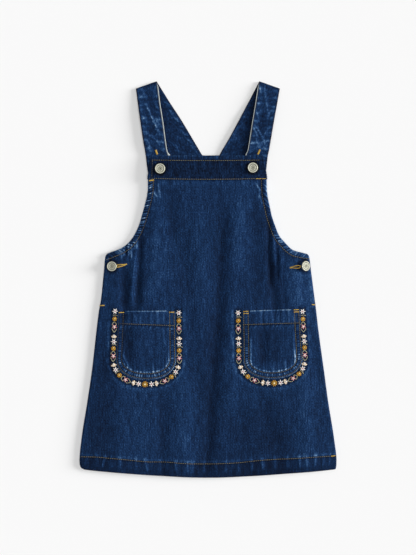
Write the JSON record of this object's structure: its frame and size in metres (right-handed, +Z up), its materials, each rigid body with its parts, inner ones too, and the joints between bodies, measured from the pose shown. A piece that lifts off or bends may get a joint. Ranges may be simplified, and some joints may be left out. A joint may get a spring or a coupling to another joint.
{
  "type": "denim pinafore dress",
  "caption": "Child's denim pinafore dress laid flat: bib front, button-through straps, A-line skirt, round patch pockets and side buttons.",
  "frame": {"origin": "on the surface that the dress lies on, in the middle of its length and width", "axes": "+X to the viewer's right, +Y from the hem to the straps, +Z up out of the front"},
  "size_m": [0.3602, 0.554, 0.0121],
  "materials": {
    "denim": "indigo denim twill, rinsed",
    "dark_denim": "darker indigo denim twill",
    "strap_denim": "indigo denim twill, paler with wash puckers",
    "button_metal": "aged pale metal, satin"
  },
  "bodies": {
    "root": {"front_panel": "denim", "back_panel": "denim", "bib_band": "dark_denim", "strap_left": "strap_denim", "strap_right": "strap_denim", "pocket_left": "denim", "pocket_right": "denim", "button_bib_left": "button_metal", "button_bib_right": "button_metal", "button_side_left": "button_metal", "button_side_right": "button_metal"}
  },
  "joints": []
}
